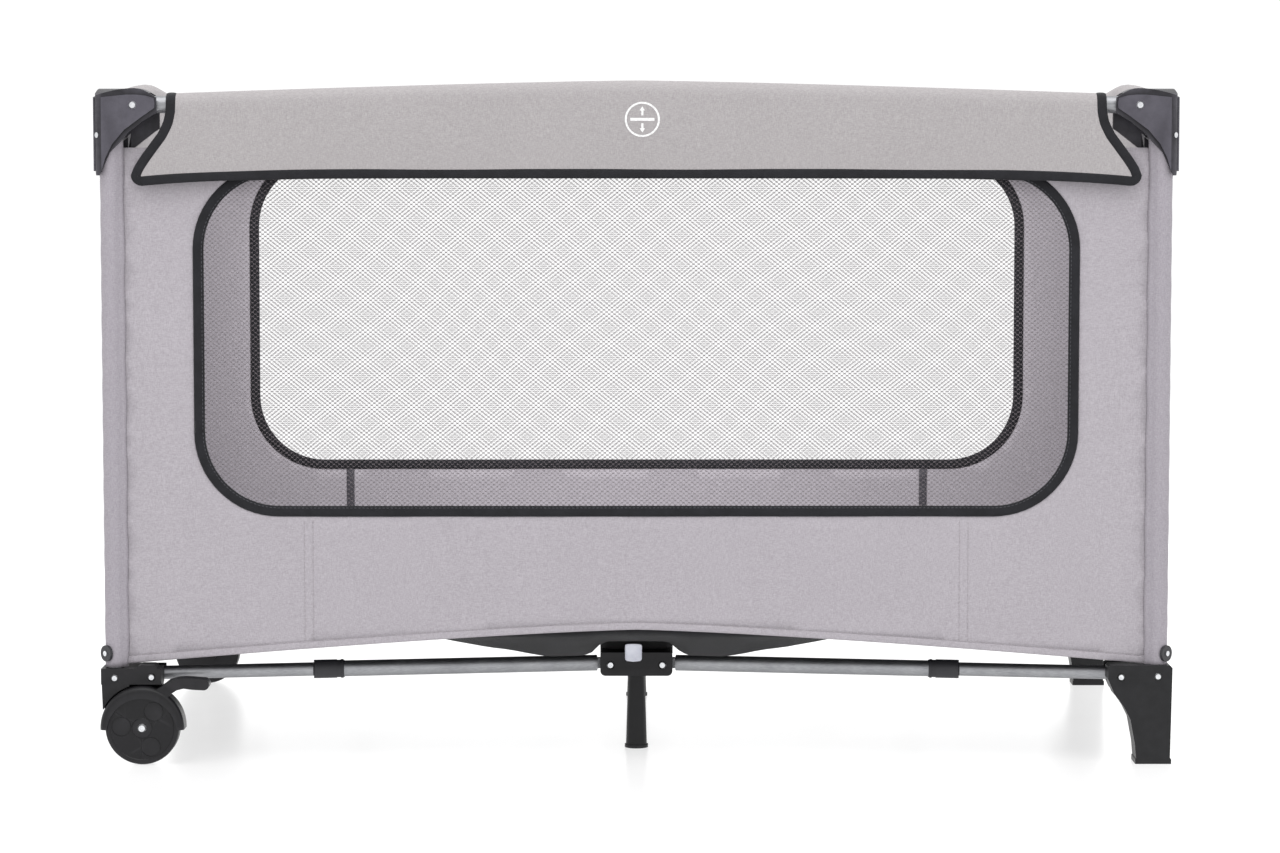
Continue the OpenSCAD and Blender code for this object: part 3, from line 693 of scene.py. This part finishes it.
class Side:
    """The cloth of one side: its measures, and its pieces."""

    def __init__(self, name):
        self.name = name
        self.info = SIDES[name]
        self.half = self.info["span"] / 2
        self.wall_half = self.half - WALL_SHORT
        self.window_half = self.half - WINDOW_INSET
        self.window_r = min(WINDOW_R, self.window_half / 2.2)
        self.window_top = WINDOW_TOP[name]
        self.seams = [sign * (self.half - self.info["seam"]) for sign in (-1, 1)]

    def hem(self, s):
        return hem_height(s, self.half - HEM_SHORT)

    def hem_path(self, n):
        places = [self.wall_half * (2 * i / n - 1) for i in range(n + 1)]
        return [(s, self.hem(s)) for s in places]

    def on_wall(self, s, z, lift=0.0):
        """A point on the wall's cloth, lifted inward."""
        return place(self.name, s, WALL_V + wall_push(self.name, s, z, self.wall_half) + lift, z)

    def window(self, larger, up=0.0, n=12):
        """The window's outline, larger at its ends and lower edge, with its top and corner radius raised."""
        half, low = self.window_half + larger, WINDOW_LOW - larger
        return rounded_window(half, low, self.window_top + up, self.window_r + up, n)

    def wall(self):
        outer = self.hem_path(60) + [(self.wall_half, WALL_TOP), (-self.wall_half, WALL_TOP)]
        hole = self.window(-5 * MM, 1 * MM)
        flat, faces = outline_fill(spaced(outer, 16 * MM, True), [hole], 15 * MM)
        obj = new_object(f"wall_{self.name}", [self.on_wall(p.x, p.y) for p in flat], faces, WALL)
        thicken(obj, 1.4 * MM)
        return obj

    def net(self):
        flat, faces = outline_fill(self.window(-1 * MM, NET_PAST), [], 22 * MM)

        def point(s, z):
            inset = min(self.window_half - abs(s), z - WINDOW_LOW, self.window_top + NET_PAST - z)
            v = WALL_V + net_push(self.name, s, z) * max(0, min(1, inset / 0.08))
            return place(self.name, s, v, z)

        return new_object(f"net_{self.name}", [point(p.x, p.y) for p in flat], faces, NETTING)

    def window_binding(self):
        """Folded over the window's edge on both faces."""
        mid = self.window(-6 * MM, n=16)

        def across(i):
            (s0, z0), (s1, z1) = mid[i - 1], mid[(i + 1) % len(mid)]
            t = Vector((s1 - s0, z1 - z0)).normalized()
            return direction(self.name, -t.y, 0, t.x)

        path = [self.on_wall(s, z) for s, z in mid]
        return strip(f"window_binding_{self.name}", path, across, 12.4 * MM, 4.2 * MM, BINDING, closed=True)

    def hem_roll(self):
        path = [self.on_wall(s, z + 3.2 * MM) for s, z in self.hem_path(80)]
        return strip(f"hem_{self.name}", path, lambda i: (0, 0, 1), 8.5 * MM, 3.4 * MM, WALL, crown_up=0.25)

    def stitching(self):
        """The hem's seam, and a double seam over each strap below the window."""
        rows = [[self.on_wall(s, z + 8.2 * MM, -1.9 * MM) for s, z in self.hem_path(80)]]
        for seam in self.seams:
            for s in (seam - 5 * MM, seam + 5 * MM):
                low, high = self.hem(s) + 9 * MM, WINDOW_LOW - 2 * MM
                rows.append([self.on_wall(s, low + (high - low) * i / 14, -0.9 * MM) for i in range(15)])
        return stitches(f"stitching_{self.name}", rows, direction(self.name, 0, -1, 0), THREAD)

    def window_stitching(self):
        loop = [self.on_wall(s, z, -1.95 * MM) for s, z in self.window(-9.9 * MM, -3.9 * MM, 16)]
        outward = direction(self.name, 0, -1, 0)
        return stitches(f"window_stitching_{self.name}", [loop + loop[:1]], outward, DARK_THREAD)

    def straps(self):
        """Webbing inside the wall, behind the double seams."""
        along = direction(self.name, 1, 0, 0)
        made = []
        for end, s in zip("ab", self.seams):
            low = self.hem(s) + 2 * MM
            path = [self.on_wall(s, low + (WINDOW_LOW - low) * i / 10, 1.6 * MM) for i in range(11)]
            name = f"strap_{self.name}_{end}"
            made.append(strip(name, path, lambda i: along, 10 * MM, 1.2 * MM, DARK_STRAP))
        return made

    def on_cover(self, share, w, inside):
        return place(self.name, *cover_point(self.half - COVER_SHORT, share, w, inside))

    def cover(self):
        ends = [2 * i / COVER_STEPS - 1 for i in range(COVER_STEPS + 1)]
        shares = [0.35 * math.sin(math.pi / 2 * t) + 0.65 * t for t in ends]

        def point(i, j, back):
            return self.on_cover(shares[i], j / COVER_ROWS, back)

        return shell(f"cover_{self.name}", COVER_STEPS + 1, COVER_ROWS + 1, point, COVER)

    def cover_binding(self):
        """One binding round the whole edge: front lower edge, one end, inner lower edge, other end."""
        long, short = 120, 2 * COVER_ROWS
        rim = [(-1 + 2 * i / long, 0.0) for i in range(long)] + [(1.0, j / short) for j in range(short)]
        rim += [(1 - 2 * i / long, 1.0) for i in range(long)] + [(-1.0, 1 - j / short) for j in range(short)]
        outer = [Vector(self.on_cover(share, w, False)) for share, w in rim]
        inner = [Vector(self.on_cover(share, w, True)) for share, w in rim]
        width, thick, past = 11 * MM, 4.9 * MM, 0.9 * MM
        across = []
        for i, (a, b) in enumerate(zip(outer, inner)):
            tangent = (outer[(i + 1) % len(rim)] - outer[i - 1]).normalized()
            normal = a - b
            normal = (normal - tangent * normal.dot(tangent)).normalized()
            across.append(tangent.cross(normal))
        if across[long // 2].z < 0:
            across = [-a for a in across]
        path = [(a + b) / 2 + side * (width / 2 - past) for a, b, side in zip(outer, inner, across)]
        name = f"cover_binding_{self.name}"
        return strip(name, path, lambda i: across[i], width, thick, BINDING, closed=True)

    def build(self):
        wall, net, binding, roll = self.wall(), self.net(), self.window_binding(), self.hem_roll()
        wall_thread, tape_thread = self.stitching(), self.window_stitching()
        straps = self.straps()
        cover, cover_binding = self.cover(), self.cover_binding()
        for obj in (wall, net, binding, roll, wall_thread, tape_thread, *straps, cover, cover_binding):
            carried(obj, self.name)
        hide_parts(f"fabric_{self.name}")


for side_name in SIDES:
    Side(side_name).build()

# ---------- printed push mark on the front cover ----------


def push_mark():
    """A ring with an arrow up, an arrow down and a plain bar, in mm from its middle."""
    middle_s, middle_z, lift = 7 * MM, 750 * MM, 0.25 * MM
    half = POST_X - COVER_SHORT

    def skin(s, z):
        low, top = cover_low(s / half), crown(s, half) - COVER_ROUND
        t = max(0.0, min(1.0, (z - low) / (top - low)))
        _, v, _ = cover_point(half, s / half, FLAT_SHARE * t ** (1 / ROW_POWER), False)
        return place("front", s, v - lift, z)

    def on_ring(r, step):
        return r * math.cos(2 * math.pi * step / 96), r * math.sin(2 * math.pi * step / 96)

    def rectangle(left, right, low, high):
        return [(left, low), (right, low), (right, high), (left, high)]

    polygons = [
        [on_ring(17.9, i), on_ring(20.2, i), on_ring(20.2, i + 1), on_ring(17.9, i + 1)] for i in range(96)
    ]
    for up in (-1, 1):
        polygons.append(rectangle(-1.3, 1.3, *sorted((4.5 * up, 10.5 * up))))
        polygons.append([(-3.2, 10.2 * up), (3.2, 10.2 * up), (0, 15 * up)][::up])
    polygons += [rectangle(3.5 * i, 3.5 * (i + 1), -1.7, 1.7) for i in range(-4, 4)]

    verts = [skin(middle_s + x * MM, middle_z + z * MM) for polygon in polygons for x, z in polygon]
    faces, start = [], 0
    for polygon in polygons:
        faces.append(tuple(range(start, start + len(polygon))))
        start += len(polygon)
    mark = new_object("push_mark", verts, faces, INK, smooth=False)
    thicken(mark, 0.3 * MM)
    carried(mark, "front")


push_mark()

# ---------- sleeves round the posts ----------


def sleeve(corner, sx, sy):
    """Cloth sewn round a post, drawn in to a seam on each of the two walls."""
    rows = 90
    # the outline round the post in the corner's own axes, inward; it starts and ends at a seam
    seam = [(15.5 * MM, -1.6 * MM), (12.5 * MM, -4.2 * MM)]
    angles = [math.radians(a) for a in range(-35, -236, -12)]
    ring = seam + [(SLEEVE_R * math.cos(a), SLEEVE_R * math.sin(a)) for a in angles]
    ring += [(v, u) for u, v in reversed(seam)]

    def point(i, j):
        z = SLEEVE_LOW + (SLEEVE_TOP - SLEEVE_LOW) * i / (rows - 1)
        u, v = ring[j]
        away = math.sin(math.pi * j / (len(ring) - 1))
        by_seam = 0.35 * MM * math.sin(z * 70 + sx * 2 + sy) * (1 - away)
        scale = 1 + (by_seam + 0.25 * MM * math.sin(z * 160 + j) * away) / SLEEVE_R
        return (sx * (POST_X - u * scale), sy * (POST_Y - v * scale), z)

    verts = [point(i, j) for i in range(rows) for j in range(len(ring))]
    outward = -1 if sx * sy > 0 else 1
    faces = [face[::outward] for face in grid_faces(rows, len(ring))]
    obj = new_object(f"sleeve_{corner}", verts, faces, SHADED_SLEEVE_CLOTH)
    thicken(obj, 0.9 * MM, -1.0)
    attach(obj, f"leg_{corner}")
    length = sum(math.dist(a, b) for a, b in zip(ring, ring[1:]))


for fore, sy in (("front", -1), ("rear", 1)):
    for hand, sx in (("left", -1), ("right", 1)):
        sleeve(f"{fore}_{hand}", sx, sy)

# ---------- floor cloth and mat ----------

# the cloth's height along the line between the side hubs, against the distance from its middle, in mm
SPINE = [
    (0, 131.4), (38, 131.2), (44, 129), (52, 118), (60, 113.4),
    (106, 112.8), (180, 124.5), (296, 147), (900, 147),
]


def floor_cloth():
    """The cloth under the mat: flat on top, drawn down to the side hubs, its edge sewn into the hems."""
    base = FLOOR_HIGH[2] - 1.6 * MM
    x_half, y_half = FLOOR_HIGH[0] - 2 * MM, FLOOR_HIGH[1] - 2 * MM
    a, b = x_half - 13 * MM, y_half - 13 * MM  # its corners are cut off round the posts
    edge = [(-a, -y_half), (a, -y_half), (x_half, -b), (x_half, b)]
    edge += [(-x, -y) for x, y in edge]
    flat, faces = outline_fill(spaced(edge, 18 * MM, True), [], 13 * MM)
    by_hub, inner_edge, slope = HUB_Y + 25 * MM, 96 * MM, 76 * MM
    # the edge's width, how far it reaches out, and how far below the hem it ends
    band, reach, under = 14 * MM, 2.4 * MM, 0.8 * MM

    def height(x, y):
        if abs(y) > by_hub:
            t = (y_half - abs(y)) / (y_half - by_hub)
        else:
            t = min(1, max(0, abs(y) - inner_edge) / slope)
        t = t * t * (3 - 2 * t) * 0.4 + t * 0.6
        crease = 0.8 * MM * math.sin(abs(x) * 70 + y * 12) * t * min(1, abs(x) / 0.1)
        return base - (base - table(SPINE, abs(x) / MM) * MM) * t + max(0, crease)

    def point(x, y):
        """The cloth's edge rises with the walls' hems, and reaches out to them."""
        z = height(x, y)
        long_side = (x, POST_X, y_half - abs(y), (0, 1))
        short_side = (y, POST_Y, x_half - abs(x), (1, 0))
        for s, half, gap, step in (long_side, short_side):
            over = hem_height(s, half) - base
            near = max(0, 1 - gap / band)
            out = near * min(1, max(0, over / (8 * MM) + 1.2)) * reach
            z += max(0, over - under) * near
            x += math.copysign(out * step[0], x)
            y += math.copysign(out * step[1], y)
        return (x, y, z)

    obj = new_object("floor_cloth", [point(p.x, p.y) for p in flat], faces, FLOOR_CLOTH)
    thicken(obj, 0.9 * MM)
    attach(obj, "centre_hub_body")
    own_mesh(obj)
    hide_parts("floor_fabric")


floor_cloth()


def mat_panel(node):
    """A quilted panel: crowned faces with sewn channels, rounded sides and a piped edge."""
    low, high = [Vector(corner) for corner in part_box(node)]
    middle, half = (low + high) / 2, (high - low) / 2
    half_x, half_y = half.x - 0.3 * MM, half.y - 0.3 * MM
    nx, ny = 44, 84
    round_r, channel, channel_half, channel_deep = 8 * MM, 75 * MM, 3.5 * MM, 1.9 * MM

    def point(i, j, back):
        a, b = 2 * i / nx - 1, 2 * j / ny - 1
        x, y = a * half_x, b * half_y
        edge = min(half_x - abs(x), half_y - abs(y))
        lift = math.sqrt(max(0, 1 - (1 - min(1, edge / round_r)) ** 2))
        height = half.z * (0.35 + 0.65 * lift)
        if back:
            height = -height
        else:
            aside = min(abs(q - round(q)) for q in ((x + y) / channel, (x - y) / channel)) * channel
            height -= channel_deep * math.exp(-(aside / channel_half) ** 2) * min(1, edge / 0.012)
        pull = 1 - 0.003 * (1 - abs(b) ** 2) * abs(a) ** 6
        return middle + Vector((x * pull, y, height))

    pad = shell(f"pad_{node}", nx + 1, ny + 1, point, MAT_CLOTH)
    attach(pad, node + "_body")
    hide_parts(node)
    path = [(point(i, j, False) + point(i, j, True)) / 2 for i, j in grid_rim(nx + 1, ny + 1)[::2]]
    piping = strip(f"piping_{node}", path, lambda i: (0, 0, 1), 4.5 * MM, 2.4 * MM, BINDING, closed=True)
    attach(piping, node + "_body")


for panel in ("mattress_left_outer", "mattress_left_inner", "mattress_right_inner", "mattress_right_outer"):
    mat_panel(panel)

# ---------- webbing tab on the front hub ----------


def hub_tab():
    low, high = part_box("hub_strap")
    x = (low[0] + high[0]) / 2
    # how far in front of the hub's face, and how high, in mm: up the face, then forward towards the wall
    rise = [(1, 106), (1.1, 111), (1.2, 116), (2.2, 119), (6, 122.8), (10, 126.2)]
    path = [(x, high[1] - ahead * MM, z * MM) for ahead, z in rise] + [(x, low[1] + 1.2 * MM, 129.8 * MM)]
    width = high[0] - low[0] - 0.4 * MM
    tab = strip("hub_tab", path, lambda i: (1, 0, 0), width, 1.7 * MM, WEBBING, crown_up=0.15)
    mod = tab.modifiers.new("smooth", "SUBSURF")
    mod.levels = mod.render_levels = 1
    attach(tab, "side_hub_front_body")
    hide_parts("hub_strap")


hub_tab()

# ---------- finishes of the CAD nodes ----------

# the base tubes run askew in plan, from each leg's pivot to the side hub's, and join under a collar
RUN_X, RUN_Y = 536.5, 84.5
ASKEW = math.cos(math.atan2(RUN_Y, RUN_X))
LEG_PIVOT = POST_X - 37.8 * MM
COLLAR_START, COLLAR_END = 191.6 * MM, 228.4 * MM  # along the tube from the leg's pivot
COLLAR = (LEG_PIVOT - COLLAR_END * ASKEW, LEG_PIVOT - COLLAR_START * ASKEW)
TUBE_JOINED = steel("base_tube_steel", *SATIN, collar=COLLAR)

# the start of the nodes' names, their material, and how far their edges are rounded, in mm
FINISH = (
    ("post_", TUBE, 0), ("rail_", TUBE, 0), ("base_tube_", TUBE_JOINED, 0), ("cross_tube_", TUBE, 0),
    ("housing_", HOUSING, 1.0), ("wheel_bracket_", BRACKET, 0.8), ("foot_bracket_", FOOT, 1.2),
    ("bolts_", BOLT, 0.25), ("hub_bolts_", BOLT, 0.25), ("wheel_", WHEEL, 0.5), ("brake_", WHEEL, 0.7),
    ("latch_", LATCH, 0.7), ("button_", BUTTON, 0.7), ("side_hub_", BRACKET, 0.9), ("hub_foot_", FOOT, 0.5),
    ("centre_hub", BRACKET, 1.0),
)


def finish(obj, material, bevel):
    obj.data.materials.clear()
    obj.data.materials.append(material)
    if bevel:
        mod = obj.modifiers.new("edges", "BEVEL")
        mod.width = bevel * MM
        mod.segments = 2
        mod.limit_method = "ANGLE"
        mod.angle_limit = math.radians(38)
        mod.harden_normals = True


for node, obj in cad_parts.items():
    match = [(material, bevel) for prefix, material, bevel in FINISH if node.startswith(prefix)]
    if match:
        finish(obj, *match[0])

# ---------- stage, light and camera ----------

# each light: where it stands, where it points, its size and its power
LIGHTS = {
    "key": ((-1.8, -2.6, 3.4), (0, 0, 0.4), 2.6, 18),
    "fill": ((2.6, -2.4, 2.2), (0, 0, 0.4), 2.6, 10),
    "top": ((0, -1.1, 3.6), (0, 0, 0.4), 3.0, 50),
    "inner": ((0, -0.24, 0.49), (0, 0.3, 0.49), 0.58, 2.6),  # inside the pen, towards its rear wall
}


def stage():
    # the floor ends a little behind the pen, so that no horizon shows through the window
    near, far, side, z = -8, 2, 8, -0.4 * MM
    mesh = bpy.data.meshes.new("floor")
    corners = [(-side, near, z), (side, near, z), (side, far, z), (-side, far, z)]
    mesh.from_pydata(corners, [], [(0, 1, 2, 3)])
    mesh.materials.append(floor_finish("pale_floor"))
    ground = bpy.data.objects.new("floor", mesh)
    scene.collection.objects.link(ground)

    scene.world = bpy.data.worlds.new("studio")
    scene.world.use_nodes = True
    background = scene.world.node_tree.nodes["Background"]
    background.inputs["Color"].default_value = (1, 1, 1, 1)
    background.inputs["Strength"].default_value = 1.06

    for name, (place_at, look_at, size, power) in LIGHTS.items():
        lamp = bpy.data.lights.new(name, "AREA")
        lamp.shape, lamp.size, lamp.energy = "SQUARE", size, power
        obj = bpy.data.objects.new(name, lamp)
        obj.location = place_at
        aim = Vector(look_at) - Vector(place_at)
        obj.rotation_euler = aim.to_track_quat("-Z", "Y").to_euler()
        obj.visible_camera = False
        scene.collection.objects.link(obj)

    camera = bpy.data.cameras.new("camera")
    camera.sensor_width = 36
    camera.lens = 102.065625  # with the camera's place and tilt, fitted to the photo
    camera.clip_end = 60
    view = bpy.data.objects.new("camera", camera)
    view.location = (0.0043, -4.5185, 0.7253)
    view.rotation_euler = (math.radians(85.5), 0, 0)
    scene.collection.objects.link(view)
    scene.camera = view
    scene.view_settings.view_transform = "Standard"


stage()
